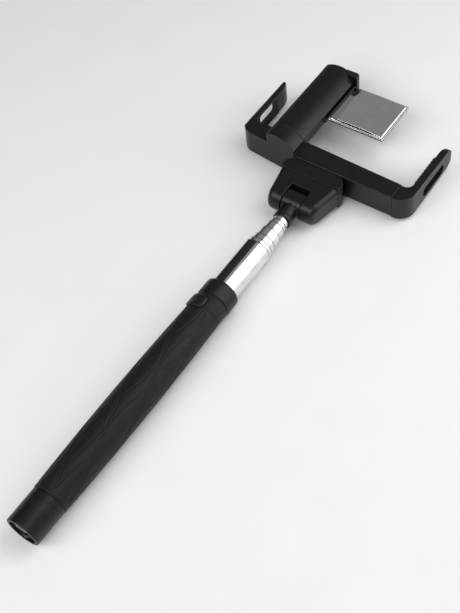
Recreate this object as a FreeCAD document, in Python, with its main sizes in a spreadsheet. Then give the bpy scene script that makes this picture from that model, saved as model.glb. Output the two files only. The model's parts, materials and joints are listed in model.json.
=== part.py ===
import FreeCAD, Part
import os
import Sketcher

"""Telescopic selfie stick, lying flat: grip, seven-tube pole, tilting phone clamp and folding mirror.

+Y runs along the pole from the end cap to the head, +X along the head's crossbar and +Z up, away from the
surface that the stick lies on. The sheet's dimensions, in millimetres, are measured from the pole's axis
and from the end cap's end face. The origin is the bottom centre of the whole object's box.
"""

doc = FreeCAD.newDocument("SelfieStick")
sheet = doc.addObject("Spreadsheet::Sheet", "Dimensions")

DIMENSIONS = {
    # handle
    "cap_radius": 11.55,
    "cap_length": 24.0,
    "cap_floor": 3.0,
    "recess_radius": 9.4,
    "recess_depth": 1.6,
    "core_radius": 10.8,
    "core_end": 187.4,
    "shelf_start": 29.5,
    "grip_start": 24.2,
    "grip_end": 187.4,
    "grip_end_radius": 11.85,
    "grip_mid_radius": 13.0,
    "grip_band": 11.0,
    "collar_radius": 12.15,
    "collar_start": 187.6,
    "collar_end": 200.0,
    "collar_round": 2.0,
    "edge_break": 0.35,
    "button_place": 179.2,
    "button_angle": 120.0,
    "button_length": 10.0,
    "button_span": 17.0,
    "button_bottom": 11.3,
    "button_top": 13.05,
    "button_clearance": 0.25,
    "board_height": 10.1,
    "film_radius": 10.5,
    "film_wall": 0.4,
    # pole
    "tube_radius": 10.0,
    "tube_step": 0.75,
    "tube_wall": 0.5,
    "tube_start": 32.0,
    "tube_end": 239.0,
    "inner_start": 60.0,
    "inner_stagger": 2.5,
    "sleeve_length": 45.0,
    "lip_length": 1.5,
    "fit_gap": 0.05,
    "ring_radius": 6.75,
    "ring_start": 268.9,
    "ring_end": 272.5,
    "pole_end": 275.0,
    # hinge
    "hinge_place": 286.8,
    "barrel_radius": 9.2,
    "knuckle_radius": 8.6,
    "knuckle_width": 14.4,
    "neck_radius": 6.2,
    "washer_wall": 0.35,
    "slot_end": 295.0,
    "bolt_radius": 2.0,
    "housing_seam": 305.0,
    "housing_low_half": 18.0,
    "housing_high_half": 23.1,
    # clamp
    "half_height": 9.6,
    "beam_front": 316.7,
    "beam_back": 330.8,
    "beam_back_left": 333.2,
    "beam_left": -20.0,
    "beam_right": 58.0,
    "shell_wall": 2.0,
    "jaw_left_front": 320.6,
    "jaw_outer": 69.8,
    "jaw_corner": 10.8,
    "arm_plate": 5.0,
    "arm_tip": 380.6,
    "arm_wedge": 10.0,
    "tip_corner": 1.4,
    "tip_half_height": 8.2,
    "high_round": 4.0,
    "low_round": 3.0,
    "pad_wall": 1.4,
    "pad_near": 337.4,
    "rod_radius": 1.3,
    "rod_line": 324.2,
    "rod_height": 4.0,
    "tongue_start": 30.0,
    "spring_wire": 0.35,
    "spring_radius": 2.3,
    "spring_pitch": 4.6,
    # mirror bar
    "bar_left": -44.8,
    "bar_right": -20.4,
    "bar_floor": 6.2,
    "bar_left_height": 17.3,
    "bar_right_height": 13.2,
    "bar_bulge": 4.7,
    "bar_wall": 1.6,
    "bar_near": 330.2,
    "bar_cap": 395.0,
    "bar_far": 403.2,
    "cap_overhang": 3.2,
    "cap_height": 18.6,
    "mirror_near": 359.4,
    "mirror_far": 397.6,
    "mirror_outer": 25.6,
    "mirror_crown": 2.6,
    "pin_across": -19.2,
    "pin_height": 9.7,
    "pin_radius": 0.55,
}

for row, (alias, value) in enumerate(DIMENSIONS.items(), start=1):
    sheet.set("A%d" % row, alias)
    sheet.set("B%d" % row, str(value))
    sheet.setAlias("B%d" % row, alias)
doc.recompute()

HOME_SHIFT = {"y": " - Dimensions.bar_far / 2", "z": " + Dimensions.grip_mid_radius"}
ALONG = FreeCAD.Vector(0, 1, 0)
TUBE_TOPS = ["tube_end", "tube_end + 3.7", "tube_end + 8.3", "tube_end + 16", "tube_end + 22.5",
             "tube_end + 25.8", "pole_end"]
sub_parts = []


def dim(alias):
    """The value of a cell."""
    return float(sheet.get(alias))


HOME = FreeCAD.Vector(0, -dim("bar_far") / 2, dim("grip_mid_radius"))


def cell(text):
    """Expression text with every alias in it pointed at the sheet."""
    words = []
    word = ""
    for letter in text + " ":
        if letter.isalnum() or letter in "_.":
            word += letter
        else:
            words.append("Dimensions." + word if word in DIMENSIONS else word)
            words.append(letter)
            word = ""
    return "".join(words).strip()


def value_of(text):
    """The number that an expression over the sheet's aliases gives."""
    number = sheet.evalExpression(cell(text).replace("Dimensions.", ""))
    return float(number.Value if hasattr(number, "Value") else number)


def finish(thing, label):
    """Names a sub-part and moves it from the pole's axis to the part frame."""
    thing.Label = label
    bound = {path.lstrip("."): text for path, text in thing.ExpressionEngine}
    if "Placement.Base.y" in bound:
        for axis, shift in HOME_SHIFT.items():
            path = "Placement.Base." + axis
            thing.setExpression(path, bound[path] + shift)
    else:
        place = thing.Placement
        thing.Placement = FreeCAD.Placement(place.Base + HOME, place.Rotation)
    sub_parts.append(thing)
    return thing


def swung(thing):
    """Turns a piece that was built about +X round the pole's axis to the button's place."""
    doc.recompute()
    place = thing.Placement
    for axis in "xyz":
        thing.setExpression("Placement.Base." + axis, None)
    turn = FreeCAD.Placement(FreeCAD.Vector(), FreeCAD.Rotation(ALONG, -dim("button_angle")))
    thing.Placement = turn.multiply(place)
    return thing


def outline(body, name, plane, points, arcs):
    """Closed sketch with its corners bound to the sheet.

    points holds pairs of expressions. arcs gives, for a side that is an arc, the expression of its rise
    above its chord, to the left of its direction.
    """
    sketch = body.newObject("Sketcher::SketchObject", name)
    planes = [item for item in body.Origin.OriginFeatures if item.Role == plane]
    sketch.AttachmentSupport = [(planes[0], "")]
    sketch.MapMode = "FlatFace"
    corners = [FreeCAD.Vector(value_of(first), value_of(second), 0) for first, second in points]
    count = len(corners)
    starts = []
    ends = []
    centres = []
    for index, start in enumerate(corners):
        end = corners[(index + 1) % count]
        starts.append(1)
        ends.append(2)
        if index not in arcs:
            sketch.addGeometry(Part.LineSegment(start, end), False)
            continue
        chord = end - start
        normal = FreeCAD.Vector(-chord.y, chord.x, 0).normalize()
        rise = value_of(arcs[index])
        middle = (start + end) * 0.5 + normal * rise
        if rise > 0:
            starts[index], ends[index] = 2, 1
            start, end = end, start
        sketch.addGeometry(Part.Arc(start, middle, end), False)
        steeper = "X" if abs(normal.x) > abs(normal.y) else "Y"
        centre = sketch.Geometry[index].Center
        centres.append((steeper, index, centre.x if steeper == "X" else centre.y))
    for index in range(count):
        following = (index + 1) % count
        joined = Sketcher.Constraint("Coincident", index, ends[index], following, starts[following])
        sketch.addConstraint(joined)
        for axis, text in zip("XY", points[index]):
            held = Sketcher.Constraint("Distance" + axis, -1, 1, index, starts[index], value_of(text))
            number = sketch.addConstraint(held)
            sketch.setExpression("Constraints[%d]" % number, cell(text))
    for axis, index, place in centres:
        sketch.addConstraint(Sketcher.Constraint("Distance" + axis, -1, 1, index, 3, place))
    return sketch


def turned(label, points, arcs={}):
    """Body turned about the pole's axis; points are radius and distance along the pole."""
    body = doc.addObject("PartDesign::Body", label + "_body")
    sketch = outline(body, label + "_profile", "XY_Plane", points, arcs)
    turn = body.newObject("PartDesign::Revolution", label + "_turn")
    turn.Profile = sketch
    turn.ReferenceAxis = (sketch, ["V_Axis"])
    turn.Angle = 360
    return body


def plate(label, points, height, arcs={}, plane="XY_Plane", shift=FreeCAD.Vector()):
    """Body padded both ways from one of its origin planes to the height given."""
    body = doc.addObject("PartDesign::Body", label + "_body")
    sketch = outline(body, label + "_outline", plane, points, arcs)
    pad = body.newObject("PartDesign::Pad", label + "_pad")
    pad.Profile = sketch
    pad.Midplane = True
    pad.setExpression("Length", cell(height))
    body.Placement = FreeCAD.Placement(shift, FreeCAD.Rotation())
    return body


def block(label, low, high):
    """Box between two corners."""
    box = doc.addObject("Part::Box", label)
    for side, start, end in zip(("Length", "Width", "Height"), low, high):
        box.setExpression(side, cell("(%s) - (%s)" % (end, start)))
    for axis, start in zip("xyz", low):
        box.setExpression("Placement.Base." + axis, cell(start))
    return box


def rod(label, radius, start, end, centre, along="x"):
    """Cylinder from start to end along x, y or z; centre gives the two other coordinates."""
    cylinder = doc.addObject("Part::Cylinder", label)
    cylinder.setExpression("Radius", cell(radius))
    cylinder.setExpression("Height", cell("(%s) - (%s)" % (end, start)))
    turns = {"x": FreeCAD.Rotation(FreeCAD.Vector(0, 1, 0), 90),
             "y": FreeCAD.Rotation(FreeCAD.Vector(1, 0, 0), -90),
             "z": FreeCAD.Rotation()}
    cylinder.Placement = FreeCAD.Placement(FreeCAD.Vector(), turns[along])
    cylinder.setExpression("Placement.Base." + along, cell(start))
    for axis, text in zip([axis for axis in "xyz" if axis != along], centre):
        cylinder.setExpression("Placement.Base." + axis, cell(text))
    return cylinder


def fuse(label, *shapes):
    """One solid, or one group of solids, from several."""
    result = doc.addObject("Part::MultiFuse", label)
    result.Shapes = list(shapes)
    result.Refine = True
    return result


def cut(label, base, *tools):
    """Base less the tools."""
    result = doc.addObject("Part::Cut", label)
    result.Base = base
    result.Tool = tools[0] if len(tools) == 1 else fuse(label + "_tools", *tools)
    return result


def common(label, first, second):
    """What two shapes share."""
    result = doc.addObject("Part::MultiCommon", label)
    result.Shapes = [first, second]
    return result


def rounded(label, base, radius, wanted):
    """Fillet on the edges that wanted picks by middle point and direction."""
    doc.recompute()
    size = value_of(radius)
    picked = []
    for number, edge in enumerate(base.Shape.Edges, start=1):
        middle = edge.valueAt((edge.FirstParameter + edge.LastParameter) / 2)
        run = edge.valueAt(edge.LastParameter) - edge.valueAt(edge.FirstParameter)
        if run.Length > 1e-3 and wanted(middle, run.normalize()):
            picked.append((number, size, size))
    fillet = doc.addObject("Part::Fillet", label)
    fillet.Base = base
    fillet.Edges = picked
    return fillet


def arm_slot(label, start, end, along, heights, corner):
    """Slot tool through an arm from start to end, with rounded corners."""
    box = block(label + "_box", (start, along[0], heights[0]), (end, along[1], heights[1]))
    return rounded(label, box, corner, lambda middle, run: abs(run.x) > 0.99)


# ------------------------------------------------------------------------------------------ handle

def make_handle_shells():
    """End cap with its recess, core, grip, collar and the film round the outer tube."""
    cap = turned("cap", [
        ("0", "recess_depth"), ("recess_radius", "recess_depth"), ("recess_radius", "0"),
        ("cap_radius - edge_break", "0"), ("cap_radius", "edge_break"), ("cap_radius", "cap_length"),
        ("core_radius", "cap_length"), ("core_radius", "cap_floor"), ("0", "cap_floor")])
    socket_hole = block("socket_hole", ("-4", "-1", "2.5"), ("4", "cap_floor + 1", "5.5"))
    eyelet_hole = block("eyelet_hole", ("-2.7", "-1", "-6.1"), ("2.7", "cap_floor + 1", "-3.9"))
    finish(cut("cap_cut", cap, socket_hole, eyelet_hole), "end_cap")

    core = turned("core", [
        ("core_radius - 0.8", "cap_floor"), ("core_radius", "cap_floor"), ("core_radius", "core_end"),
        ("tube_radius", "core_end"), ("tube_radius", "tube_start"), ("5", "tube_start"),
        ("5", "shelf_start"), ("core_radius - 0.8", "shelf_start")])
    window = swung(block("window", ("9", "button_place - 6.2", "-4.3"), ("12", "button_place + 5.2", "4.3")))
    finish(cut("core_cut", core, window), "handle_core")

    barrel_end = "grip_end - grip_band"
    grip = turned("grip", [
        ("core_radius", "grip_start"), ("grip_end_radius - edge_break", "grip_start"),
        ("grip_end_radius", "grip_start + edge_break"), ("grip_end_radius", barrel_end),
        ("grip_end_radius", "grip_end - edge_break"), ("grip_end_radius - edge_break", "grip_end"),
        ("core_radius", "grip_end")], {2: "grip_end_radius - grip_mid_radius"})
    well = button_pad("well", "core_radius - 1", "button_top + 3", "button_clearance")
    finish(cut("grip_cut", grip, well), "grip_sleeve")

    finish(turned("collar", [
        ("tube_radius", "collar_start"), ("collar_radius - edge_break", "collar_start"),
        ("collar_radius", "collar_start + edge_break"), ("collar_radius", "collar_end - collar_round"),
        ("collar_radius - collar_round", "collar_end"), ("tube_radius", "collar_end")],
        {3: "-0.293 * collar_round"}), "grip_collar")

    finish(turned("film", [
        ("film_radius - film_wall", "collar_end + 0.3"), ("film_radius", "collar_end + 0.3"),
        ("film_radius", "tube_end - 0.6"), ("film_radius - film_wall", "tube_end - 0.6")]), "label_film")


def make_handle_inside():
    """Strap eyelet, charging socket and board, and the cell."""
    loop = rod("loop", "2.6", "-6", "-4", ("0", "cap_floor - 0.4"), "z")
    loop_hole = rod("loop_hole", "1.5", "-7", "-3", ("0", "cap_floor - 0.4"), "z")
    foot = block("eyelet_foot", ("-5", "cap_floor", "-7.4"), ("5", "cap_floor + 1.4", "-2.6"))
    finish(cut("eyelet", fuse("eyelet_blank", loop, foot), loop_hole), "strap_eyelet")
    socket = block("socket", ("-3.9", "0.6", "2.6"), ("3.9", "7", "5.4"))
    socket_mouth = block("socket_mouth", ("-3.3", "0.5", "3.2"), ("3.3", "6", "4.8"))
    finish(cut("socket_cut", socket, socket_mouth), "usb_socket")
    finish(block("charging_board", ("-9.6", "cap_floor + 0.4", "1.6"), ("9.6", "16", "2.6")), "charge_board")
    finish(rod("cell", "4.6", "9", "28.5", ("0", "-5.3"), "y"), "battery_cell")


def button_pad(label, bottom, top, margin):
    """Curved pad about +X between two radii, with rounded corners and a margin round its outline."""
    points = [(bottom, "button_place - button_length"), (top, "button_place - button_length"),
              (top, "button_place + button_length"), (bottom, "button_place + button_length")]
    ring = turned(label + "_ring", points)
    half_length = "(button_length / 2 + %s)" % margin
    half_span = "(button_span / 2 + %s)" % margin
    outline_box = block(label + "_box", ("5", "button_place - " + half_length, "-" + half_span),
                        ("20", "button_place + " + half_length, half_span))
    softened = rounded(label + "_soft", outline_box, "3.4 + %s" % margin,
                       lambda middle, run: abs(run.x) > 0.99)
    return swung(common(label, ring, softened))


def make_button():
    """Shutter button with its plunger, over a switch on a small board against the outer tube."""
    pad = button_pad("button_pad", "button_bottom", "button_top", "0")
    plunger = swung(rod("plunger", "1.2", "button_bottom - 0.15", "button_bottom + 0.5",
                        ("button_place", "0")))
    finish(fuse("button", pad, plunger), "shutter_button")
    board = block("board", ("board_height", "button_place - 4.8", "-2.4"),
                  ("board_height + 0.4", "button_place + 4.8", "2.4"))
    finish(swung(board), "button_board")
    switch = block("switch", ("board_height + 0.4", "button_place - 1.5", "-1.5"),
                   ("board_height + 0.6", "button_place + 1.5", "1.5"))
    finish(swung(switch), "button_switch")


# -------------------------------------------------------------------------------------------- pole

def make_pole():
    """Seven nested tubes, each with a turned-in mouth, and the friction sleeves on the inner six."""
    for number, top in enumerate(TUBE_TOPS, start=1):
        radius = "tube_radius - %d * tube_step" % (number - 1)
        bore = radius + " - tube_wall"
        mouth = radius + " - tube_step + fit_gap"
        inner = number > 1
        start = "inner_start + %d * inner_stagger" % (number - 2) if inner else "tube_start"
        profile = [(bore, start), (radius, start), (radius, top)]
        if number < len(TUBE_TOPS):
            lip = top + " - lip_length"
            profile += [(mouth, top), (mouth, lip + " + 0.25"), (bore, lip)]
        else:
            profile += [(bore, top)]
        finish(turned("tube_%d" % number, profile), "pole_tube_%d" % number)
        if inner:
            outer = radius + " + tube_step - tube_wall - fit_gap"
            end = start + " + sleeve_length"
            sleeve = turned("sleeve_%d" % number, [(radius, start), (outer, start), (outer, end), (radius, end)])
            finish(sleeve, "friction_sleeve_%d" % number)


def make_neck():
    """Black ring on the thinnest tube, and the neck with the hinge's middle knuckle."""
    last_radius = "tube_radius - 6 * tube_step"
    finish(turned("ring", [
        (last_radius, "ring_start"), ("ring_radius - edge_break", "ring_start"),
        ("ring_radius", "ring_start + edge_break"), ("ring_radius", "ring_end - edge_break"),
        ("ring_radius - edge_break", "ring_end"), (last_radius, "ring_end")]), "top_ring")
    neck = rod("neck", "neck_radius", "ring_end + 0.2", "hinge_place - 3", ("0", "0"), "y")
    barrel = rod("barrel", "knuckle_radius", "-knuckle_width / 2", "knuckle_width / 2", ("hinge_place", "0"))
    socket = rod("neck_socket", last_radius + " + fit_gap", "ring_end", "pole_end + 0.3", ("0", "0"), "y")
    bolt_hole = rod("bolt_hole", "bolt_radius + fit_gap", "-10", "10", ("hinge_place", "0"))
    finish(cut("knuckle", fuse("knuckle_blank", neck, barrel), socket, bolt_hole), "tilt_knuckle")


# ------------------------------------------------------------------------------------------- hinge

def make_hinge():
    """Trapezoid housing with a rounded end and the knuckle's slot, the band above it, and the bolt."""
    low = "hinge_place - barrel_radius"
    plan = plate("housing_plan", [
        ("-housing_low_half", low), ("housing_low_half", low), ("housing_high_half", "housing_seam"),
        ("-housing_high_half", "housing_seam")], "3 * barrel_radius")
    side = plate("housing_side", [
        ("hinge_place", "-barrel_radius"), ("housing_seam", "-barrel_radius"),
        ("housing_seam", "barrel_radius"), ("hinge_place", "barrel_radius")],
        "60", {3: "-barrel_radius"}, "YZ_Plane")
    softened = rounded("housing_soft", common("housing_blank", plan, side), "4",
                       lambda middle, run: abs(middle.x) > 16.5 and middle.y < dim("housing_seam") - 1)
    slot_half = "knuckle_width / 2 + washer_wall + fit_gap"
    slot = block("slot", ("-(%s)" % slot_half, low + " - 2", "-12"), (slot_half, "slot_end", "12"))
    pocket = rod("pocket", "knuckle_radius + 0.4", "-(%s)" % slot_half, slot_half, ("hinge_place", "0"))
    hole = rod("hole", "bolt_radius", "-22", "17.2", ("hinge_place", "0"))
    head_recess = rod("head_recess", "3.9", "-26", "-15.9", ("hinge_place", "0"))
    nut_pocket = rod("nut_pocket", "4.1", "13.2", "16.8", ("hinge_place", "0"))
    finish(cut("housing", softened, slot, pocket, hole, head_recess, nut_pocket), "hinge_housing")

    shank = rod("shank", "bolt_radius", "-16", "17", ("hinge_place", "0"))
    head = rod("bolt_head", "3.6", "-18.4", "-16", ("hinge_place", "0"))
    socket = doc.addObject("Part::Prism", "hex_socket")
    socket.Polygon = 6
    socket.Circumradius = 1.7
    socket.Height = 1.6
    socket.Placement = FreeCAD.Placement(
        FreeCAD.Vector(-18.5, dim("hinge_place"), 0), FreeCAD.Rotation(FreeCAD.Vector(0, 1, 0), 90))
    finish(cut("bolt", fuse("bolt_blank", shank, head), socket), "hinge_bolt")
    nut = doc.addObject("Part::Prism", "nut_blank")
    nut.Polygon = 6
    nut.Circumradius = 4.0
    nut.Height = 3.2
    nut.Placement = FreeCAD.Placement(
        FreeCAD.Vector(13.4, dim("hinge_place"), 0), FreeCAD.Rotation(FreeCAD.Vector(0, 1, 0), 90))
    nut_bore = rod("nut_bore", "bolt_radius", "13", "17", ("hinge_place", "0"))
    finish(cut("nut", nut, nut_bore), "hinge_nut")
    washers = []
    for side_name, start in (("left", "-knuckle_width / 2 - washer_wall - fit_gap / 2"),
                             ("right", "knuckle_width / 2 + fit_gap / 2")):
        disc = rod("washer_" + side_name, "6", start, start + " + washer_wall", ("hinge_place", "0"))
        bore = rod("washer_bore_" + side_name, "bolt_radius + 0.1", "-10", "10", ("hinge_place", "0"))
        washers.append(cut("washer_cut_" + side_name, disc, bore))
    finish(fuse("washers", *washers), "hinge_washers")

    near = "housing_seam + 0.2"
    far = "beam_front - 0.1"
    high = "housing_high_half"
    saddle_plan = plate("saddle_plan", [
        ("-(%s)" % high, near), (high, near), (high + " + 0.5", near + " + 3.5"), (high + " - 6.5", far),
        ("-(%s - 6.5)" % high, far), ("-(%s + 0.5)" % high, near + " + 3.5")],
        "3 * half_height", {2: "-1.9", 4: "-1.9"})
    saddle_side = plate("saddle_side", [
        (near, "0.2 - half_height"), (far + " - 1.4", "0.2 - half_height"), (far, "1.6 - half_height"),
        (far, "half_height - 1.6"), (far + " - 1.4", "half_height - 0.2"), (near, "half_height - 0.2")],
        "60", {1: "-0.41", 3: "-0.41"}, "YZ_Plane")
    saddle = common("saddle", saddle_plan, saddle_side)
    heads = []
    holes = []
    for side_name, across in (("left", "-12"), ("right", "12")):
        thread = rod("saddle_thread_" + side_name, "1.2", near + " + 2.4", "beam_front + shell_wall",
                     (across, "0"), "y")
        pan = rod("saddle_pan_" + side_name, "2.4", near + " + 0.4", near + " + 2.4", (across, "0"), "y")
        heads.append(fuse("saddle_screw_" + side_name, thread, pan))
        holes.append(rod("saddle_hole_" + side_name, "1.2", near, far + " + 1", (across, "0"), "y"))
        holes.append(rod("saddle_seat_" + side_name, "2.5", near + " - 1", near + " + 2.4", (across, "0"), "y"))
    finish(cut("saddle_cut", saddle, *holes), "beam_saddle")
    finish(fuse("saddle_screw_pair", *heads), "saddle_screws")


# ------------------------------------------------------------------------------------------- clamp

def make_beam():
    """Hollow crossbar with a bulkhead that the guide rods pass through."""
    back = "beam_back"
    bar = plate("beam_plan", [("beam_left", "beam_front"), ("beam_right", "beam_front"),
                              ("beam_right", back), ("beam_left", "beam_back_left")], "2 * half_height")
    softened = rounded("beam_soft", bar, "1.0", lambda middle, run: abs(run.x) > 0.99)
    left_room = block("left_room", ("beam_left + shell_wall", "beam_front + shell_wall", "-7.2"),
                      ("tongue_start - 5.5", back + " - shell_wall", "7.2"))
    right_room = block("right_room", ("tongue_start - 3", "beam_front + shell_wall", "-7.2"),
                       ("beam_right + 1", back + " - shell_wall", "7.2"))
    tools = [left_room, right_room]
    for name, height in (("low", "-rod_height"), ("high", "rod_height")):
        tools.append(rod("bulkhead_hole_" + name, "rod_radius + fit_gap", "10", "40", ("rod_line", height)))
    for name, across in (("left", "-12"), ("right", "12")):
        tools.append(rod("beam_thread_" + name, "1.2", "beam_front - 1", "beam_front + shell_wall",
                         (across, "0"), "y"))
    finish(cut("beam", softened, *tools), "beam_housing")


def arm_side(label, corner):
    """Side outline of a jaw: full height at the crossbar, tapering to a tip with rounded corners."""
    bend = "beam_back_left + 3"
    near = "arm_tip - " + corner
    rise = "-0.293 * " + corner
    return plate(label, [
        ("beam_front - 4", "-half_height"), (bend, "-half_height"),
        (near, "-tip_half_height"), ("arm_tip", corner + " - tip_half_height"),
        ("arm_tip", "tip_half_height - " + corner), (near, "tip_half_height"),
        (bend, "half_height"), ("beam_front - 4", "half_height")],
        "160", {2: rise, 4: rise}, "YZ_Plane")


def fixed_section():
    """Section across the fixed jaw, whose outer face has a wide rounding above and a smaller one below."""
    outer = "-jaw_outer"
    middle = FreeCAD.Vector(0, value_of("arm_tip") - 40, 0)
    return plate("fixed_section", [
        (outer + " + high_round", "half_height"), (outer, "half_height - high_round"),
        (outer, "low_round - half_height"), (outer + " + low_round", "-half_height"),
        ("0", "-half_height"), ("0", "half_height")],
        "100", {0: "-0.293 * high_round", 2: "-0.293 * low_round"}, "XZ_Plane", middle)


def bar_section(label, near, far, inset, floor):
    """Half-round section of the mirror bar between two places, drawn in by an inset."""
    length = "(%s) - (%s)" % (far, near)
    middle = FreeCAD.Vector(0, value_of("((%s) + (%s)) / 2" % (far, near)), 0)
    return plate(label, [
        ("bar_left + " + inset, floor), ("bar_right - " + inset, floor),
        ("bar_right - " + inset, "bar_right_height - 0.8 * " + inset),
        ("bar_left + " + inset, "bar_left_height - 0.8 * " + inset)],
        length, {2: "-(bar_bulge - 0.2 * %s)" % inset}, "XZ_Plane", middle)


def make_fixed_jaw():
    """Left end of the crossbar: block with a slanted front, slotted arm and the half-round hump."""
    outer = "-jaw_outer"
    inner = "arm_plate - jaw_outer"
    start = "beam_left - 0.1"
    back = "beam_back_left"
    points = [(start, back), (start, "beam_front + 0.1"), (outer + " + jaw_corner", "jaw_left_front"),
              (outer, "jaw_left_front + jaw_corner"), (outer, "arm_tip - tip_corner"),
              (outer + " + tip_corner", "arm_tip"), (inner, "arm_tip - arm_wedge"),
              (inner, back + " + 4"), (inner + " + 4", back)]
    arcs = {2: "0.3 * jaw_corner", 4: "0.293 * tip_corner", 5: "0.08 * arm_wedge", 7: "-1.17"}
    plan = plate("fixed_plan", points, "60", arcs)
    profile = common("fixed_profile", plan, arm_side("fixed_side", "4"))
    flat = common("fixed_flat", profile, fixed_section())
    hump = common("hump", bar_section("hump_section", "beam_front", "bar_near - 0.2", "0", "0"), plan)
    slot = arm_slot("fixed_slot", "-jaw_outer - 1", inner + " + 1", ("340", "362.8"), ("-7.2", "6.3"), "2.6")
    seat = block("cover_seat", ("bar_left - 0.1", "bar_near - 0.2", "bar_floor - 0.1"),
                 ("beam_left + 1", "beam_back_left + 1", "half_height + 1"))
    finish(cut("fixed", fuse("fixed_blank", flat, hump), slot, seat), "fixed_jaw")
    finish(block("fixed_pad", (inner, "pad_near", "-8.4"), (inner + " + pad_wall", "362.6", "-0.4")),
           "fixed_jaw_pad")


def make_sliding_jaw():
    """Right jaw: block, slotted arm and a tongue in the crossbar, with its rods, end plate and springs."""
    inner = "jaw_outer - arm_plate"
    start = "beam_right + 0.1"
    base = "beam_back - 1.2"
    plan = plate("sliding_plan", [
        (start, "beam_front"), ("jaw_outer - jaw_corner", "beam_front"), ("jaw_outer", "beam_front + jaw_corner"),
        ("jaw_outer", "arm_tip - tip_corner"), ("jaw_outer - tip_corner", "arm_tip"),
        (inner, "arm_tip - arm_wedge"), (inner, base + " + 5"), (inner + " - 5", base), (start, base)],
        "60", {1: "-0.293 * jaw_corner", 3: "-0.293 * tip_corner", 4: "-0.08 * arm_wedge", 6: "1.46"})
    jaw = common("sliding_flat", plan, arm_side("sliding_side", "(tip_half_height - 0.4)"))
    tongue = block("tongue", ("tongue_start", "beam_front + shell_wall + 0.25", "-6.95"),
                   ("beam_right + 0.2", base + " - shell_wall - 0.05", "6.95"))
    slot = arm_slot("sliding_slot", inner + " - 1", "jaw_outer + 1", ("339.6", "368.6"), ("-6.4", "2.2"), "3.8")
    holes = []
    rods = []
    plate_holes = []
    for name, height in (("low", "-rod_height"), ("high", "rod_height")):
        holes.append(rod("tongue_hole_" + name, "rod_radius", "20", "tongue_start + 12", ("rod_line", height)))
        rods.append(rod("rod_" + name, "rod_radius", "-16", "tongue_start + 12", ("rod_line", height)))
        plate_holes.append(rod("plate_hole_" + name, "rod_radius", "-20", "-10", ("rod_line", height)))
    finish(cut("sliding", fuse("sliding_blank", jaw, tongue), slot, *holes), "sliding_jaw")
    finish(fuse("rod_pair", *rods), "guide_rods")
    end_plate = block("end_plate", ("-16", "rod_line - 3.4", "-6.8"), ("-14.4", "rod_line + 3.4", "6.8"))
    finish(cut("end_plate_cut", end_plate, *plate_holes), "rod_end_plate")
    finish(block("sliding_pad", (inner + " - pad_wall", "pad_near", "0.4"), (inner, "365", "8.4")),
           "sliding_jaw_pad")

    springs = doc.addObject("Part::Feature", "springs")
    coils = [spring_at(height) for height in (-dim("rod_height"), dim("rod_height"))]
    springs.Shape = Part.makeCompound(coils)
    finish(springs, "clamp_springs")


def spring_at(height):
    """Coil round one guide rod, from the end plate to the bulkhead."""
    wire_radius = dim("spring_wire")
    start = -14.4 + wire_radius + 0.1
    length = dim("tongue_start") - 5.5 - wire_radius - 0.1 - start
    helix = Part.makeHelix(dim("spring_pitch"), length, dim("spring_radius"))
    ring = Part.Wire(Part.makeCircle(wire_radius, FreeCAD.Vector(dim("spring_radius"), 0, 0), ALONG))
    coil = Part.Wire(helix.Edges).makePipeShell([ring], True, True)
    turn = FreeCAD.Rotation(FreeCAD.Vector(0, 1, 0), 90)
    coil.Placement = FreeCAD.Placement(FreeCAD.Vector(start, dim("rod_line"), height), turn)
    return coil


# ------------------------------------------------------------------------------------------ mirror

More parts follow.
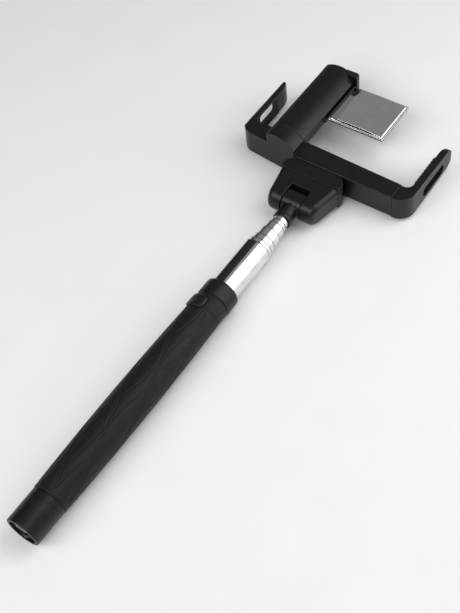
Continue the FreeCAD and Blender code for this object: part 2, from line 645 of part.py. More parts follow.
def make_mirror_bar():
    """Half-round bar: open shell, end cap and base strip, with lugs for the mirror's pin."""
    shell = bar_section("cover_section", "bar_near", "bar_cap - 0.1", "0", "bar_floor")
    hollow = bar_section("cover_hollow", "bar_near + bar_wall", "bar_cap + 1", "bar_wall", "bar_floor - 1")
    opening = ("bar_right - bar_wall - 1", "mirror_near - 0.3", "bar_floor + 2")
    mouth = block("cover_mouth", opening, ("bar_right + 1", "bar_cap + 1", "bar_right_height - 1.6"))
    near_lug = pin_lug("near_lug", "mirror_near - 3", "mirror_near - 0.3")
    pin_hole = pin_rod("cover_pin_hole", "mirror_near - 2.6", "bar_cap + 1")
    places = ("bar_near + 8", "bar_cap - 6")
    across = "(bar_left + bar_right) / 2"
    posts = []
    post_holes = []
    threads = []
    for number, place in enumerate(places):
        posts.append(rod("post_%d" % number, "2.6", "bar_floor + 1.3", "bar_right_height + 5.6",
                         (across, place), "z"))
        post_holes.append(rod("post_hole_%d" % number, "1.1", "bar_floor", "bar_floor + 6.5",
                              (across, place), "z"))
        threads.append(rod("cover_thread_%d" % number, "1.1", "bar_floor + 0.1", "bar_floor + 6.5",
                           (across, place), "z"))
    blank = fuse("cover_blank", cut("cover_shell", shell, hollow, mouth), near_lug, *posts)
    finish(cut("cover", blank, pin_hole, *post_holes), "mirror_cover")
    finish(fuse("cover_screw_pair", *threads), "cover_screws")

    cap = bar_section("cap_section", "bar_cap", "bar_far", "0", "bar_floor")
    softened = rounded("cap_soft", cap, "2.6", is_cap_edge)
    overhang = block("overhang", ("bar_right - 8", "mirror_far + 0.3", "bar_floor"),
                     ("bar_right + cap_overhang", "bar_far - 0.6", "cap_height"))
    overhang_soft = rounded("overhang_soft", overhang, "2.4",
                            lambda middle, run: middle.x > dim("bar_right") and
                            (middle.y > dim("bar_far") - 1 or middle.z > dim("bar_right_height")))
    overhang_hollow = block("overhang_hollow", ("bar_right - 9", "mirror_far", "bar_floor + 1.5"),
                            ("bar_right + cap_overhang - 1.8", "mirror_far + 2", "cap_height - 4.6"))
    cap_hollow = block("cap_hollow", ("bar_right - 9", "bar_cap - 1", "bar_floor + 2"),
                       ("bar_right + 1", "mirror_far + 0.3", "bar_right_height - 1.6"))
    base_seat = block("base_seat", ("bar_left + bar_wall - 0.1", "bar_cap - 1", "bar_floor - 1"),
                      ("bar_right - bar_wall + 0.1", "bar_far - 2.4", "bar_floor + 1.4"))
    far_hole = pin_rod("cap_pin_hole", "bar_cap - 1", "mirror_far + 2.4")
    finish(cut("cover_cap", fuse("cover_cap_blank", softened, overhang_soft), cap_hollow, overhang_hollow,
               base_seat, far_hole), "cover_end_cap")

    base = block("base_strip", ("bar_left + bar_wall", "beam_back_left + 0.1", "bar_floor"),
                 ("bar_right - bar_wall", "bar_far - 2.5", "bar_floor + 1.3"))
    holes = [rod("base_hole_%d" % number, "1.1", "bar_floor - 1", "bar_floor + 6", (across, place), "z")
             for number, place in enumerate(places)]
    finish(cut("base", base, *holes), "cover_base")


def is_cap_edge(middle, run):
    """Edges of the bar's far end above its floor."""
    return middle.y > dim("bar_far") - 0.5 and middle.z > dim("bar_floor") + 0.5


def pin_lug(label, near, far):
    """Small lug that carries the mirror's pin beside the bar."""
    eye = rod(label + "_eye", "1.1", near, far, ("pin_across", "pin_height"), "y")
    foot = block(label + "_foot", ("bar_right - 0.6", near, "pin_height - 1.1"),
                 ("pin_across", far, "pin_height + 1.1"))
    return fuse(label, eye, foot)


def pin_rod(label, near, far, radius="pin_radius"):
    """Rod on the mirror's hinge axis."""
    return rod(label, radius, near, far, ("pin_across", "pin_height"), "y")


def make_mirror():
    """Pin, backing frame with its hinge barrel, and the convex mirror plate."""
    finish(pin_rod("pin", "mirror_near - 2.6", "mirror_far + 2.4"), "mirror_pin")
    barrel = rod("frame_barrel", "1.1", "mirror_near", "mirror_far", ("pin_across", "pin_height"), "y")
    tray = block("frame_tray", ("pin_across", "mirror_near", "pin_height - 1.1"),
                 ("mirror_outer", "mirror_far", "pin_height"))
    bore = pin_rod("frame_bore", "mirror_near - 1", "mirror_far + 1", "pin_radius + fit_gap")
    finish(cut("frame", fuse("frame_blank", barrel, tray), bore), "mirror_frame")

    start = "pin_across + 1.5"
    flange = block("mirror_flange", (start, "mirror_near", "pin_height"),
                   ("mirror_outer", "mirror_far", "pin_height + 0.5"))
    middle = FreeCAD.Vector(0, value_of("(mirror_near + mirror_far) / 2"), 0)
    long_arch = plate("long_arch", [
        (start + " + 1", "pin_height"), ("mirror_outer - 1.2", "pin_height"),
        ("mirror_outer - 1.2", "pin_height + 0.9"), (start + " + 1", "pin_height + 0.9")],
        "mirror_far - mirror_near - 2.4", {2: "0.9 - mirror_crown"}, "XZ_Plane", middle)
    cross_arch = plate("cross_arch", [
        ("mirror_near + 1.2", "pin_height"), ("mirror_far - 1.2", "pin_height"),
        ("mirror_far - 1.2", "pin_height + 0.9"), ("mirror_near + 1.2", "pin_height + 0.9")],
        "120", {2: "0.9 - mirror_crown"}, "YZ_Plane")
    pillow = common("pillow", long_arch, cross_arch)
    finish(fuse("mirror", flange, pillow), "mirror_plate")


# ------------------------------------------------------------------------------------------- write

def check_and_write():
    """Stops if anything failed to build, then writes one file for each sub-part."""
    doc.recompute()
    for item in doc.Objects:
        if any(state in ("Invalid", "Error") for state in item.State):
            raise SystemExit("failed: %s %s" % (item.Name, item.State))
    os.makedirs("parts", exist_ok=True)
    for thing in sub_parts:
        shape = thing.Shape
        if shape.isNull() or not shape.isValid() or not shape.Solids:
            raise SystemExit("bad shape: " + thing.Label)
        shape.exportStep(os.path.join("parts", thing.Label + ".step"))
        print("%-20s solids %d volume %.1f" % (thing.Label, len(shape.Solids), shape.Volume))


make_handle_shells()
make_handle_inside()
make_button()
make_pole()
make_neck()
make_hinge()
make_beam()
make_fixed_jaw()
make_sliding_jaw()
make_mirror_bar()
make_mirror()
check_and_write()
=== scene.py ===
import json
import math

import bmesh
import bpy
import numpy as np
from mathutils import Matrix, Vector


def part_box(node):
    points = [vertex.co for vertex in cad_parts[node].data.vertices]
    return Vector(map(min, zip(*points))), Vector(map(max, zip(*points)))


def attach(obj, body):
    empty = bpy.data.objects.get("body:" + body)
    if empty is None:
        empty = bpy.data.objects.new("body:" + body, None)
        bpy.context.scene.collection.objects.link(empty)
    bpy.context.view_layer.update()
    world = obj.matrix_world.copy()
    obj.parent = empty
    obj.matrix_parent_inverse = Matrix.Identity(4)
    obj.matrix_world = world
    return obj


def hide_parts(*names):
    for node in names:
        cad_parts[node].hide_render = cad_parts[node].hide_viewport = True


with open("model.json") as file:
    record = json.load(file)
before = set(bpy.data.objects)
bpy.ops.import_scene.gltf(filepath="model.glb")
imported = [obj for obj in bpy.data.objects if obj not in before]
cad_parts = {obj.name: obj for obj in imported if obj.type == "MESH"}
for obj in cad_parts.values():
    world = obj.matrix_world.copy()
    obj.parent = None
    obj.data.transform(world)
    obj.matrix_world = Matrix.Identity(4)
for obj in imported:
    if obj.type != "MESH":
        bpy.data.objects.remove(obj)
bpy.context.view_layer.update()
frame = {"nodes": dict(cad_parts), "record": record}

# Looks of a telescopic selfie stick. Sizes are in millimetres in the stick's own axes: x along the head's
# crossbar, y along the pole from the end cap's face, z up from the pole's axis.

MM = 0.001
CAP_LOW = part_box("end_cap")[0]
TUBE_LOW, TUBE_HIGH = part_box("pole_tube_1")
TIP = Vector((0.0, CAP_LOW[1], (TUBE_LOW[2] + TUBE_HIGH[2]) / 2))
NODES = frame["nodes"]


def place(x, y, z):
    """A point of the stick's axes, in metres in the frame."""
    return TIP + Vector((x, y, z)) * MM


def low(node, axis):
    """Low side of a CAD node along an axis of the stick, in millimetres."""
    return (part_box(node)[0][axis] - TIP[axis]) / MM


def high(node, axis):
    """High side of a CAD node along an axis of the stick, in millimetres."""
    return (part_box(node)[1][axis] - TIP[axis]) / MM


# -------------------------------------------------------------------------------------- materials

def new_material(name):
    """Material with a Principled shader; returns the material, its tree and the shader."""
    material = bpy.data.materials.new(name)
    material.use_nodes = True
    tree = material.node_tree
    tree.nodes.clear()
    output = tree.nodes.new("ShaderNodeOutputMaterial")
    shader = tree.nodes.new("ShaderNodeBsdfPrincipled")
    tree.links.new(shader.outputs["BSDF"], output.inputs["Surface"])
    return material, tree, shader


# Noise texture's values that lie well inside its spread, where ramps and gloss start and end.
NOISE_LOW, NOISE_HIGH = 0.3, 0.7


def object_coordinates(tree, scale=(1, 1, 1)):
    """Object coordinates times a scale."""
    coordinates = tree.nodes.new("ShaderNodeTexCoord")
    mapping = tree.nodes.new("ShaderNodeMapping")
    mapping.inputs["Scale"].default_value = scale
    tree.links.new(coordinates.outputs["Object"], mapping.inputs["Vector"])
    return mapping.outputs["Vector"]


def noise(tree, vector, scale, detail=3.0):
    """Noise texture's value."""
    texture = tree.nodes.new("ShaderNodeTexNoise")
    texture.inputs["Scale"].default_value = scale
    texture.inputs["Detail"].default_value = detail
    tree.links.new(vector, texture.inputs["Vector"])
    return texture.outputs["Fac"]


def ramp(tree, value, stops):
    """Colour ramp on a value; stops are (position, colour)."""
    node = tree.nodes.new("ShaderNodeValToRGB")
    elements = node.color_ramp.elements
    while len(elements) < len(stops):
        elements.new(0.5)
    for element, (position, colour) in zip(elements, stops):
        element.position = position
        element.color = (*colour, 1)
    tree.links.new(value, node.inputs["Fac"])
    return node.outputs["Color"]


def remap(tree, value, source, target=(0.0, 1.0)):
    """A value mapped from one range to another, and held at that range's ends."""
    node = tree.nodes.new("ShaderNodeMapRange")
    node.inputs["From Min"].default_value, node.inputs["From Max"].default_value = source
    node.inputs["To Min"].default_value, node.inputs["To Max"].default_value = target
    tree.links.new(value, node.inputs["Value"])
    return node.outputs["Result"]


def bump(tree, shader, height, strength, distance, rounding=0.0):
    """Bump from a height, on edges that shade as rounded where a rounding radius is given."""
    node = tree.nodes.new("ShaderNodeBump")
    node.inputs["Strength"].default_value = strength
    node.inputs["Distance"].default_value = distance * MM
    tree.links.new(height, node.inputs["Height"])
    if rounding:
        bevel = tree.nodes.new("ShaderNodeBevel")
        bevel.samples = 6
        bevel.inputs["Radius"].default_value = rounding * MM
        tree.links.new(bevel.outputs["Normal"], node.inputs["Normal"])
    tree.links.new(node.outputs["Normal"], shader.inputs["Normal"])


def moulded(name, dark, pale, rough, grain=2200.0, strength=0.12, specular=0.5, rounding=0.25):
    """Moulded plastic: faint mottling, uneven gloss and a fine grain."""
    material, tree, shader = new_material(name)
    vector = object_coordinates(tree)
    mottle = noise(tree, vector, 120.0, 5.0)
    tree.links.new(ramp(tree, mottle, [(NOISE_LOW, dark), (NOISE_HIGH, pale)]), shader.inputs["Base Color"])
    gloss = remap(tree, noise(tree, vector, 300.0), (NOISE_LOW, NOISE_HIGH), (rough - 0.04, rough + 0.05))
    tree.links.new(gloss, shader.inputs["Roughness"])
    shader.inputs["Specular IOR Level"].default_value = specular
    bump(tree, shader, noise(tree, vector, grain, 2.0), strength, 0.05, rounding)
    return material


def drawn_metal(name, dark, pale, rough, along=(1, 0.02, 1), relief=0.06):
    """Plated or drawn metal: fine lines along the part and slightly uneven gloss."""
    material, tree, shader = new_material(name)
    lines = noise(tree, object_coordinates(tree, along), 2600.0, 2.0)
    clouds = noise(tree, object_coordinates(tree), 160.0)
    tree.links.new(ramp(tree, clouds, [(NOISE_LOW, dark), (NOISE_HIGH, pale)]), shader.inputs["Base Color"])
    gloss = remap(tree, lines, (NOISE_LOW, NOISE_HIGH), (rough - 0.03, rough + 0.05))
    tree.links.new(gloss, shader.inputs["Roughness"])
    shader.inputs["Metallic"].default_value = 1.0
    bump(tree, shader, lines, relief, 0.02)
    return material


def round_pole(tree):
    """Angle round the pole's axis, from +X towards +Z, in degrees."""
    coordinates = tree.nodes.new("ShaderNodeTexCoord")
    split = tree.nodes.new("ShaderNodeSeparateXYZ")
    tree.links.new(coordinates.outputs["Object"], split.inputs["Vector"])
    above = tree.nodes.new("ShaderNodeMath")
    above.operation = "SUBTRACT"
    above.inputs[1].default_value = TIP[2]
    tree.links.new(split.outputs["Z"], above.inputs[0])
    angle = tree.nodes.new("ShaderNodeMath")
    angle.operation = "ARCTAN2"
    tree.links.new(above.outputs["Value"], angle.inputs[0])
    tree.links.new(split.outputs["X"], angle.inputs[1])
    degrees = tree.nodes.new("ShaderNodeMath")
    degrees.operation = "DEGREES"
    tree.links.new(angle.outputs["Value"], degrees.inputs[0])
    return degrees.outputs["Value"]


def clear_film(name, band_start, band_end):
    """Clear film with a dark printed band along the pole between two angles."""
    material, tree, shader = new_material(name)
    vector = object_coordinates(tree)
    half_turn = 180.0
    place_round = remap(tree, round_pole(tree), (0.0, half_turn))
    start, end, edge = band_start / half_turn, band_end / half_turn, 0.006
    places = (start - edge, start, end, end + edge)
    clear, dark = (0.85, 0.86, 0.88), (0.02, 0.018, 0.017)
    sheer, printed = (0.03,) * 3, (0.82,) * 3
    colours = list(zip(places, (clear, dark, dark, clear)))
    tree.links.new(ramp(tree, place_round, colours), shader.inputs["Base Color"])
    covers = list(zip(places, (sheer, printed, printed, sheer)))
    tree.links.new(ramp(tree, place_round, covers), shader.inputs["Alpha"])
    gloss = remap(tree, noise(tree, vector, 500.0), (NOISE_LOW, NOISE_HIGH), (0.05, 0.12))
    tree.links.new(gloss, shader.inputs["Roughness"])
    shader.inputs["Specular IOR Level"].default_value = 0.6
    return material


GRIP = moulded("grip_black", (0.0055, 0.0054, 0.0052), (0.009, 0.0087, 0.0084), 0.52, 3200.0, 0.2, 0.3)
CAP = moulded("cap_black", (0.005, 0.0048, 0.0047), (0.008, 0.0078, 0.0076), 0.40, 2600.0, 0.08, 0.34)
HEAD = moulded("head_black", (0.0045, 0.0043, 0.0042), (0.008, 0.0077, 0.0075), 0.34, 2400.0, 0.1, 0.36, 0.5)
INNER = moulded("core_black", (0.03, 0.03, 0.03), (0.05, 0.05, 0.05), 0.5)
BUTTON = moulded("button_black", (0.008, 0.0078, 0.0076), (0.012, 0.0117, 0.0115), 0.42, 2600.0, 0.08, 0.36)
PAD = moulded("pad_rubber", (0.02, 0.02, 0.02), (0.03, 0.03, 0.03), 0.75, 1800.0, 0.3, 0.3)
NYLON = moulded("sleeve_nylon", (0.6, 0.6, 0.56), (0.7, 0.7, 0.66), 0.45)
BOARD = moulded("board_green", (0.02, 0.12, 0.05), (0.03, 0.16, 0.07), 0.4)
WRAP = moulded("cell_wrap", (0.05, 0.1, 0.35), (0.07, 0.13, 0.4), 0.3)
STEEL = drawn_metal("steel_tube", (0.72, 0.73, 0.75), (0.82, 0.83, 0.85), 0.12)
PLATED = drawn_metal("plated_steel", (0.5, 0.5, 0.5), (0.62, 0.62, 0.62), 0.3, (0.05, 1, 1))
BOLT = drawn_metal("bolt_steel", (0.35, 0.35, 0.36), (0.45, 0.45, 0.46), 0.35, (0.05, 1, 1))
MIRROR = drawn_metal("mirror_silver", (0.74, 0.75, 0.77), (0.8, 0.81, 0.83), 0.05, (1, 1, 1), 0.01)
FILM = clear_film("film", 84.0, 122.0)
SLOTS = {
    "grip_black": GRIP, "cap_black": CAP, "head_black": HEAD, "core_black": INNER, "button_black": BUTTON,
    "ring_black": HEAD, "pad_rubber": PAD, "sleeve_nylon": NYLON, "board_green": BOARD, "cell_wrap": WRAP,
    "steel_tube": STEEL, "plated_steel": PLATED, "bolt_steel": BOLT, "mirror_silver": MIRROR, "film": FILM,
}

slot_of = {part["node"]: part["material_slot"] for part in frame["record"]["subparts"]}
for node, thing in NODES.items():
    for slot in thing.material_slots:
        slot.material = SLOTS[slot_of[node]]


# ---------------------------------------------------------------------------------- mesh building

def outward_mesh(name, points, faces):
    """Mesh from points in the stick's millimetres, with its faces turned outwards."""
    mesh = bpy.data.meshes.new(name)
    mesh.from_pydata([place(*point) for point in points], [], faces)
    mesh.validate()
    build = bmesh.new()
    build.from_mesh(mesh)
    bmesh.ops.recalc_face_normals(build, faces=build.faces)
    build.to_mesh(mesh)
    build.free()
    return mesh


def new_piece(name, points, faces, body, slot, replaced=()):
    """Smooth-shaded object from points and faces, riding on a body."""
    mesh = outward_mesh(name, points, faces)
    for polygon in mesh.polygons:
        polygon.use_smooth = True
    mesh.materials.append(SLOTS[slot])
    piece = bpy.data.objects.new(name, mesh)
    bpy.context.collection.objects.link(piece)
    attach(piece, body)
    if replaced:
        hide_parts(*replaced)
    return piece


def keep_sharp(piece, degrees):
    """Shades edges that turn by more than an angle as sharp."""
    piece.data.set_sharp_from_angle(angle=math.radians(degrees))


def polar(radius, degrees, along):
    """Point at a radius and an angle from +X round the pole's axis."""
    turn = math.radians(degrees)
    return (radius * math.cos(turn), along, radius * math.sin(turn))


def ring_faces(rows, columns, closed=False):
    """Quads between rows of points that each go all the way round; closed joins the last row to the first."""
    faces = []
    for row in range(rows if closed else rows - 1):
        for column in range(columns):
            follow = (column + 1) % columns
            above = (row + 1) % rows
            faces.append((row * columns + column, row * columns + follow, above * columns + follow,
                          above * columns + column))
    return faces


def grid_faces(rows, columns):
    """Quads of an open grid."""
    return [(row * columns + column, row * columns + column + 1, (row + 1) * columns + column + 1,
             (row + 1) * columns + column) for row in range(rows - 1) for column in range(columns - 1)]


FINE_COLUMNS = 160
COARSE_COLUMNS = 96


def lathe(name, profile, body, slot, replaced=(), columns=COARSE_COLUMNS):
    """Closed ring turned about the pole's axis from a loop of (radius, along)."""
    points = [polar(radius, 360.0 * column / columns, along)
              for radius, along in profile for column in range(columns)]
    return new_piece(name, points, ring_faces(len(profile), columns, closed=True), body, slot, replaced)


# Widths of the rounds on the CAD nodes' hard edges. The jaws and cover_end_cap have none: on the jaws a bevel
# spoiled the slots in the arms.
EDGES = {
    "hinge_housing": 0.4, "beam_saddle": 0.5, "beam_housing": 0.8,
    "mirror_cover": 0.35, "cover_base": 0.2, "tilt_knuckle": 0.3, "end_cap": 0.15,
    "mirror_frame": 0.25, "grip_collar": 0.2, "top_ring": 0.3,
}
WELD_GAP = 0.002
FLAT_ANGLE = 0.6
HARD_ANGLE = 32.0
ROUND_SEGMENTS = 3


def soften(node, width):
    """Rounds the hard edges of a CAD node."""
    thing = NODES[node]
    weld = thing.modifiers.new("weld", "WELD")
    weld.merge_threshold = WELD_GAP * MM
    flats = thing.modifiers.new("flats", "DECIMATE")
    flats.decimate_type = "DISSOLVE"
    flats.angle_limit = math.radians(FLAT_ANGLE)
    bevel = thing.modifiers.new("round", "BEVEL")
    bevel.width = width * MM
    bevel.segments = ROUND_SEGMENTS
    bevel.limit_method = "ANGLE"
    bevel.angle_limit = math.radians(HARD_ANGLE)
    bevel.use_clamp_overlap = False
    normals = thing.modifiers.new("normals", "WEIGHTED_NORMAL")
    normals.keep_sharp = False
    for polygon in thing.data.polygons:
        polygon.use_smooth = True


# --------------------------------------------------------------------------------------- handle

GRIP_START = low("grip_sleeve", 1)
GRIP_END = high("grip_sleeve", 1)
BELLY = high("grip_sleeve", 0)
GRIP_INNER = 10.8
GRIP_ENDS = 11.85
BAND = 11.0
FOOT_BAND = 3.2
GRIP_ROWS = 330
GRIP_COLUMNS = 320
RELIEF_RADIUS = 12.6
BORDER_DEPTH = 0.22
BORDER_WIDTH = 0.35
CORNER_DROP = 0.35
LEAF_ROWS = 9
LEAF_COLUMNS = 5
LEAF_PITCH = 52.0
LEAF_HALF_LENGTH = 32.0
LEAF_HALF_WIDTH = 7.2
LEAF_LEAN = 0.09
GROOVE_DEPTH = 0.34
GROOVE_WIDTH = 0.24


def grip_radius(along):
    """Smooth radius of the grip: fullest at its middle."""
    middle = (GRIP_START + GRIP_END - BAND) / 2
    half = middle - GRIP_START
    return BELLY - (BELLY - GRIP_ENDS) * np.clip(((along - middle) / half) ** 2, 0, 1)


def leaf_relief(across, along, circumference):
    """Relief of overlapping leaf outlines, engraved in the grip."""
    relief = np.zeros_like(across)
    pitch = circumference / LEAF_COLUMNS
    start = GRIP_START - LEAF_PITCH / 2
    for row in range(LEAF_ROWS):
        centre = start + row * LEAF_PITCH / 2
        shift = 0.5 * pitch * (row % 2)
        reach = (along - centre) / LEAF_HALF_LENGTH
        inside = np.abs(reach) < 1
        lean = LEAF_LEAN * (along - centre)
        offset = (across - shift - lean + pitch / 2) % pitch - pitch / 2
        width = LEAF_HALF_WIDTH * (1 - reach ** 2)
        gap = np.abs(np.abs(offset) - width)
        fade = np.clip((1 - np.abs(reach)) * 6, 0, 1)
        groove = np.exp(-(gap / GROOVE_WIDTH) ** 2) * fade * inside
        relief = np.minimum(relief, -GROOVE_DEPTH * groove)
    return relief


def make_grip():
    """Barrel of the grip with its engraved leaves, and the plain band round the button."""
    rows, columns = GRIP_ROWS, GRIP_COLUMNS
    end = GRIP_END - BAND
    along = np.linspace(GRIP_START, end, rows)[:, None] + np.zeros((1, columns))
    turn = np.linspace(0, 2 * np.pi, columns, endpoint=False)[None, :] + np.zeros((rows, 1))
    circumference = 2 * np.pi * RELIEF_RADIUS
    base = grip_radius(along)
    relief = leaf_relief(turn / (2 * np.pi) * circumference, along, circumference)
    plain = np.clip((along - GRIP_START - FOOT_BAND) / 1.0, 0, 1) * np.clip((end - along - 0.6) / 1.5, 0, 1)
    border = -BORDER_DEPTH * np.exp(-((along - GRIP_START - FOOT_BAND) / BORDER_WIDTH) ** 2)
    border = border - BORDER_DEPTH * np.exp(-((along - end + 0.5) / BORDER_WIDTH) ** 2)
    corner = -CORNER_DROP * np.clip(1 - (along - GRIP_START) / 0.5, 0, 1) ** 2
    radius = base + relief * plain + border + corner
    points = np.stack([radius * np.cos(turn), along, radius * np.sin(turn)], -1).reshape(-1, 3).tolist()
    inner = [polar(GRIP_INNER, 360.0 * column / columns, place_along)
             for place_along in (end, GRIP_START) for column in range(columns)]
    faces = ring_faces(rows + 2, columns, closed=True)
    new_piece("grip_barrel", points + inner, faces, "handle", "grip_black", ("grip_sleeve",))

    edge = 0.35
    ring = [(GRIP_INNER, end), (GRIP_ENDS, end), (GRIP_ENDS, GRIP_END - edge),
            (GRIP_ENDS - 0.1, GRIP_END - 0.1), (GRIP_ENDS - edge, GRIP_END), (GRIP_INNER, GRIP_END)]
    band = lathe("grip_band", ring, "handle", "grip_black", ("grip_sleeve",), FINE_COLUMNS)
    carve(band, button_mesh(BUTTON_GAP, WELL_BOTTOM, WELL_TOP))


BUTTON_LOW, BUTTON_HIGH = low("shutter_button", 1), high("shutter_button", 1)
BUTTON_ANGLE = 120.0
BUTTON_TOP = 13.2
BUTTON_SPAN = 17.0
BUTTON_CORNER = 4.2
BUTTON_BOTTOM = 11.35
BUTTON_COLUMNS = 72
BUTTON_ROLL = 12.4
BUTTON_GAP = 0.25
WELL_BOTTOM, WELL_TOP = 9.0, 16.0
DIMPLE_DEPTH = 0.3
DIMPLE_RADIUS = 1.7
# Shares of the pad's reach, with the drop of a crowned or a flat top, and then the shares of its underside.
CROWN = [(0.12, 0), (0.3, 0), (0.5, 0), (0.7, 0), (0.84, 0.06), (0.93, 0.22), (0.985, 0.5), (1.0, 0.85)]
FLAT_TOP = [(0.3, 0), (1.0, 0)]
UNDERSIDE = (1.0, 0.7, 0.4, 0.12)


def button_mesh(margin, bottom, top, crown=False):
    """Points and faces of a rounded pad over the grip's band, from its middle out and then under it."""
    half_length = (BUTTON_HIGH - BUTTON_LOW) / 2 + margin
    half_span = BUTTON_SPAN / 2 + margin
    middle = (BUTTON_LOW + BUTTON_HIGH) / 2
    columns = BUTTON_COLUMNS
    rings = CROWN if crown else FLAT_TOP
    levels = [(share, top - drop) for share, drop in rings] + [(share, bottom) for share in UNDERSIDE]
    points = []
    for share, radius in levels:
        for column in range(columns):
            turn = 2 * math.pi * column / columns
            cosine, sine = math.cos(turn), math.sin(turn)
            reach = (abs(cosine) ** BUTTON_CORNER + abs(sine) ** BUTTON_CORNER) ** (-1 / BUTTON_CORNER)
            along = share * reach * cosine * half_length
            across = share * reach * sine * half_span
            dimple = 0.0
            if crown:
                spread = (along ** 2 + across ** 2) / DIMPLE_RADIUS ** 2
                dimple = DIMPLE_DEPTH * math.exp(-spread)
            level = radius - dimple if radius > bottom + 0.01 else radius
            points.append(polar(level, BUTTON_ANGLE + math.degrees(across / BUTTON_ROLL), middle + along))
    faces = ring_faces(len(levels), columns)
    faces.append(tuple(range(columns)))
    faces.append(tuple(range(len(points) - 1, len(points) - 1 - columns, -1)))
    return points, faces


def carve(piece, cutter):
    """Cuts a closed shape, given as points and faces, out of a piece."""
    tool = bpy.data.objects.new("cutter", outward_mesh("cutter", *cutter))
    bpy.context.collection.objects.link(tool)
    cut = piece.modifiers.new("cut", "BOOLEAN")
    cut.operation = "DIFFERENCE"
    cut.solver = "EXACT"
    cut.object = tool
    bpy.context.view_layer.update()
    result = bpy.data.meshes.new_from_object(piece.evaluated_get(bpy.context.evaluated_depsgraph_get()))
    piece.modifiers.remove(cut)
    bpy.data.objects.remove(tool)
    piece.data = result
    piece.data.shade_smooth()
    keep_sharp(piece, 30)


POLE_TUBES = 7
TUBE_WALL = 0.5
LIP_LENGTH = 1.5
ROLL = 0.25
SEAM_LENGTH = 0.55
SEAM_HEIGHT = 0.6
SEAM_CORNER = 0.2
FILM_WALL = 0.4


def make_pole():
    """Polished tubes with rolled mouths, and the clear film round the outer one."""
    for number in range(1, POLE_TUBES + 1):
        node = "pole_tube_%d" % number
        radius = high(node, 0)
        start, end = low(node, 1), high(node, 1)
        mouth = high("pole_tube_%d" % (number + 1), 0) + 0.05 if number < POLE_TUBES else radius - TUBE_WALL
        bore = radius - TUBE_WALL
        rolled = [(radius - ROLL * (1 - math.cos(turn)) * 0.75, end - ROLL + ROLL * math.sin(turn))
                  for turn in (math.radians(15 * step) for step in range(6))]
        profile = [(bore, start), (radius, start), (radius, end - 2.5 * ROLL)] + rolled + [(mouth, end)]
        if number < POLE_TUBES:
            profile += [(mouth, end - LIP_LENGTH + 0.25), (bore, end - LIP_LENGTH)]
        body = "section_%d" % number if number > 1 else "handle"
        tube = lathe(node + "_drawn", profile, body, "steel_tube", (node,), FINE_COLUMNS)
        keep_sharp(tube, 40)
        if number < POLE_TUBES:
            within = high("pole_tube_%d" % (number + 1), 0) + 0.03
            outside, seam_end = within + SEAM_HEIGHT, end + SEAM_LENGTH
            ring = [(within, end), (outside, end), (outside, seam_end - SEAM_CORNER),
                    (outside - SEAM_CORNER, seam_end), (within, seam_end)]
            lathe("mouth_ring_%d" % number, ring, body, "ring_black")
    outer, start, end = high("label_film", 0), low("label_film", 1), high("label_film", 1)
    inner = outer - FILM_WALL
    profile = [(inner, start), (outer, start), (outer, end), (inner, end)]
    film = lathe("film_sleeve", profile, "handle", "film", ("label_film",), FINE_COLUMNS)
    keep_sharp(film, 40)


def make_button():
    """Shutter button: crowned pad with a small dimple."""
    points, faces = button_mesh(0.0, BUTTON_BOTTOM, BUTTON_TOP, crown=True)
    new_piece("shutter_pad", points, faces, "button", "button_black", ("shutter_button",))


# ------------------------------------------------------------------------------------------ head

MIRROR_REACH = 1.6
RIM = 1.0
SLOPE = 0.7
FLANGE = 0.5
RIM_CORNER = 0.15
HINGE_EASE = 6.0


def mirror_lines(start, end):
    """Places along a side of the mirror, with lines just where its rim and wall begin and end."""
    edge = np.concatenate([[0, RIM_CORNER, RIM - RIM_CORNER], RIM + SLOPE * np.linspace(0, 1, 8)])
    middle = np.linspace(start + RIM + SLOPE, end - RIM - SLOPE, 44)[1:-1]
    return np.concatenate([start + edge, middle, end - edge[::-1]])


def make_mirror():
    """Convex mirror: thin flat rim, steep bright walls and a crowned middle that bows its edges."""
    left, right = low("mirror_plate", 0) - MIRROR_REACH, high("mirror_plate", 0)
    near, far = low("mirror_plate", 1), high("mirror_plate", 1)
    base = low("mirror_plate", 2)
    xs, ys = mirror_lines(left, right), mirror_lines(near, far)
    rows, columns = len(ys), len(xs)
    points = []
    for y in ys:
        for x in xs:
            edge = min(x - left, right - x, y - near, far - y)
            rise = np.clip((edge - RIM) / SLOPE, 0, 1)
            rise = rise * rise * (3 - 2 * rise)
            u = (2 * x - left - right) / (right - left)
            v = (2 * y - near - far) / (far - near)
            hinge_ease = 0.3 + 0.7 * np.clip((x - left - RIM) / HINGE_EASE, 0, 1)
            height = (0.45 + 1.25 * (1 - u * u) + 0.4 * (1 - v * v)) * hinge_ease
            corner = RIM_CORNER * (1 - min(edge, RIM_CORNER) / RIM_CORNER)
            points.append((x, y, base + FLANGE - corner + rise * height))
    count = len(points)
    faces = grid_faces(rows, columns)
    border = (list(range(columns))
              + [row * columns + columns - 1 for row in range(1, rows)]
              + [(rows - 1) * columns + column for column in range(columns - 2, -1, -1)]
              + [row * columns for row in range(rows - 2, 0, -1)])
    points += [(points[index][0], points[index][1], base) for index in border]
    size = len(border)
    for step in range(size):
        follow = (step + 1) % size
        faces.append((border[step], border[follow], count + follow, count + step))
    faces.append(tuple(range(count, count + size)))
    piece = new_piece("mirror_face", points, faces, "mirror", "mirror_silver", ("mirror_plate",))
    keep_sharp(piece, 50)


PAD_RIBS = 9
PAD_STEPS = 10
PAD_LEVELS = 10
PAD_EDGE = 0.12


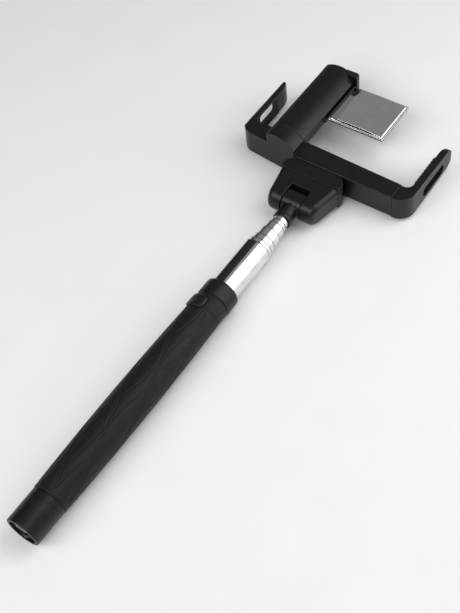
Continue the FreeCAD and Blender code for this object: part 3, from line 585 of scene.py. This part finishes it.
def make_jaw_pad(name, node, body, inward):
    """Rubber pad with rounded ribs across the jaw."""
    near, far = low(node, 1), high(node, 1)
    floor, top = low(node, 2), high(node, 2)
    outer, inner = (low(node, 0), high(node, 0)) if inward > 0 else (high(node, 0), low(node, 0))
    levels = PAD_LEVELS
    points = []
    rows = PAD_RIBS * PAD_STEPS + 1
    for row in range(rows):
        share = row / (rows - 1)
        rib = abs(math.sin(math.pi * PAD_RIBS * share)) ** 0.6
        for level in range(levels + 1):
            height = level / levels
            side = min(height, 1 - height, PAD_EDGE) / PAD_EDGE
            depth = (0.35 + 0.65 * rib) * side ** 0.5 if 0 < level < levels else 0.0
            points.append((outer + (inner - outer) * depth, near + (far - near) * share,
                           floor + (top - floor) * height))
    columns = levels + 1
    faces = grid_faces(rows, columns)
    last_row = (rows - 1) * columns
    faces += [tuple(range(columns)), tuple(range(last_row + levels, last_row - 1, -1))]
    faces.append(tuple([row * columns for row in range(rows - 1, -1, -1)]
                       + [row * columns + levels for row in range(rows)]))
    piece = new_piece(name, points, faces, body, "pad_rubber", (node,))
    keep_sharp(piece, 60)


# ------------------------------------------------------------------------------------------ stage

FLOOR_REACH = 6.0


def make_floor():
    """Pale floor, far larger than the view."""
    mesh = bpy.data.meshes.new("floor")
    corners = [(x * FLOOR_REACH, y * FLOOR_REACH, 0) for x, y in ((-1, -1), (1, -1), (1, 1), (-1, 1))]
    mesh.from_pydata(corners, [], [(0, 1, 2, 3)])
    floor = bpy.data.objects.new("floor", mesh)
    bpy.context.collection.objects.link(floor)
    material, tree, shader = new_material("floor_paper")
    mottle = noise(tree, object_coordinates(tree), 30.0)
    shades = [(NOISE_LOW, (0.95,) * 3), (NOISE_HIGH, (0.97,) * 3)]
    tree.links.new(ramp(tree, mottle, shades), shader.inputs["Base Color"])
    shader.inputs["Roughness"].default_value = 0.9
    mesh.materials.append(material)


def area_light(name, spot, aim, width, length, power):
    """Soft rectangular light at a point, turned to another; both in metres."""
    data = bpy.data.lights.new(name, "AREA")
    data.shape = "RECTANGLE"
    data.size = width
    data.size_y = length
    data.energy = power
    light = bpy.data.objects.new(name, data)
    light.location = spot
    light.rotation_euler = (Vector(aim) - Vector(spot)).to_track_quat("-Z", "Y").to_euler()
    bpy.context.collection.objects.link(light)


def make_world(strength, shade):
    """Plain surroundings, darker towards -X."""
    world = bpy.data.worlds.new("studio")
    bpy.context.scene.world = world
    world.use_nodes = True
    tree = world.node_tree
    background = tree.nodes["Background"]
    coordinates = tree.nodes.new("ShaderNodeTexCoord")
    split = tree.nodes.new("ShaderNodeSeparateXYZ")
    tree.links.new(coordinates.outputs["Generated"], split.inputs["Vector"])
    side = remap(tree, split.outputs["X"], (-0.85, -0.5))
    tree.links.new(ramp(tree, side, [(0.0, (shade,) * 3), (1.0, (1, 1, 1))]), background.inputs["Color"])
    background.inputs["Strength"].default_value = strength


def make_camera():
    """Camera where the photograph was taken from."""
    right = Vector((0.8172, 0.5688, -0.0924))
    up = Vector((-0.4171, 0.6944, 0.5863))
    back = Vector((0.3977, -0.4407, 0.8048))
    data = bpy.data.cameras.new("camera")
    data.sensor_fit = "VERTICAL"
    data.sensor_height = 24.0
    data.lens = 41.16
    camera = bpy.data.objects.new("camera", data)
    turn = Matrix((right, up, back)).transposed().to_4x4()
    camera.matrix_world = Matrix.Translation(place(280.3, -106.7, 544.9)) @ turn
    bpy.context.collection.objects.link(camera)
    bpy.context.scene.camera = camera


make_grip()
make_pole()
make_button()
make_mirror()
make_jaw_pad("fixed_pad_ribbed", "fixed_jaw_pad", "clamp", 1)
make_jaw_pad("sliding_pad_ribbed", "sliding_jaw_pad", "jaw", -1)
for node, width in EDGES.items():
    soften(node, width)
make_floor()
make_world(0.25, 0.25)
area_light("key", (0.5, 0.4, 0.56), (0, 0.03, 0), 0.62, 1.4, 5.2)
area_light("front", (-0.1, -1.0, 1.1), (0, 0, 0), 1.6, 0.8, 13.0)
make_camera()
bpy.context.scene.view_settings.view_transform = "Standard"
